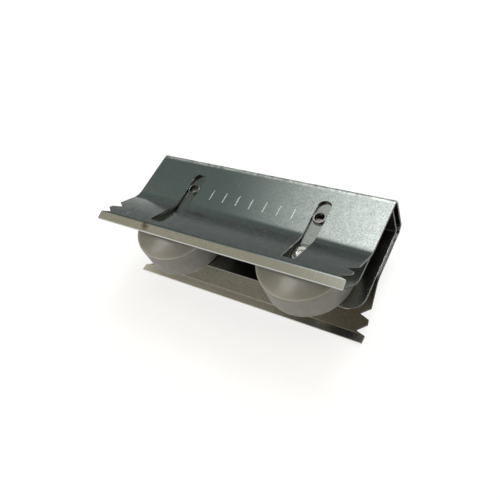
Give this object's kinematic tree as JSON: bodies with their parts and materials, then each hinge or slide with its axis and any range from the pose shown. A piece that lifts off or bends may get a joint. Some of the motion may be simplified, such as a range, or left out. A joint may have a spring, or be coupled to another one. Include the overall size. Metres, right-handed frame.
{
  "type": "sliding door roller",
  "caption": "Sliding door roller: flared sheet-steel case with slots and barbed ends around a sliding steel carrier that holds plain nylon wheels on ball bearings.",
  "frame": {"origin": "centre of the outer face of the case's web, the closed back that seats against the bottom rail of the sash", "axes": "+X along the roller, +Y out of the web (away from the wheels), +Z across, parallel to the wheel axles. The part lies on its side as stored; in use it is turned so that +Y points up and the wheels at -Y stand on the rail."},
  "size_m": [0.078, 0.036, 0.0304],
  "materials": {
    "case_steel": "zinc-plated, mottled",
    "carrier_steel": "zinc-plated",
    "nylon": "satin, translucent",
    "axle_steel": "zinc-plated",
    "bearing_steel": "ground",
    "cage_steel": "pressed",
    "shield_steel": "pressed"
  },
  "bodies": {
    "case": {"outer_case": "case_steel"},
    "carrier": {"inner_carrier": "carrier_steel", "axle_left": "axle_steel", "spacer_up_left": "axle_steel", "spacer_down_left": "axle_steel", "inner_race_left": "bearing_steel", "axle_right": "axle_steel", "spacer_up_right": "axle_steel", "spacer_down_right": "axle_steel", "inner_race_right": "bearing_steel"},
    "wheel_left": {"tyre_left": "nylon", "outer_race_left": "bearing_steel", "shield_up_left": "shield_steel", "shield_down_left": "shield_steel"},
    "ball_cage_left": {"balls_left": "bearing_steel", "cage_left": "cage_steel"},
    "wheel_right": {"tyre_right": "nylon", "outer_race_right": "bearing_steel", "shield_up_right": "shield_steel", "shield_down_right": "shield_steel"},
    "ball_cage_right": {"balls_right": "bearing_steel", "cage_right": "cage_steel"}
  },
  "joints": [
    {"name": "carrier_slide", "type": "slide", "parent": "case", "child": "carrier", "axis": [0, -1, 0], "range_m": [-0.0014, 0.005]},
    {"name": "wheel_left_spin", "type": "hinge", "parent": "carrier", "child": "wheel_left", "pos_m": [-0.0213, -0.023, 0], "axis": [0, 0, 1], "continuous": true},
    {"name": "cage_left_spin", "type": "hinge", "parent": "carrier", "child": "ball_cage_left", "pos_m": [-0.0213, -0.023, 0], "axis": [0, 0, 1], "continuous": true},
    {"name": "wheel_right_spin", "type": "hinge", "parent": "carrier", "child": "wheel_right", "pos_m": [0.0213, -0.023, 0], "axis": [0, 0, 1], "continuous": true},
    {"name": "cage_right_spin", "type": "hinge", "parent": "carrier", "child": "ball_cage_right", "pos_m": [0.0213, -0.023, 0], "axis": [0, 0, 1], "continuous": true}
  ],
  "couplings": [
    {"joint": "cage_left_spin", "follows": "wheel_left_spin", "ratio": 0.6392},
    {"joint": "cage_right_spin", "follows": "wheel_right_spin", "ratio": 0.6392}
  ]
}
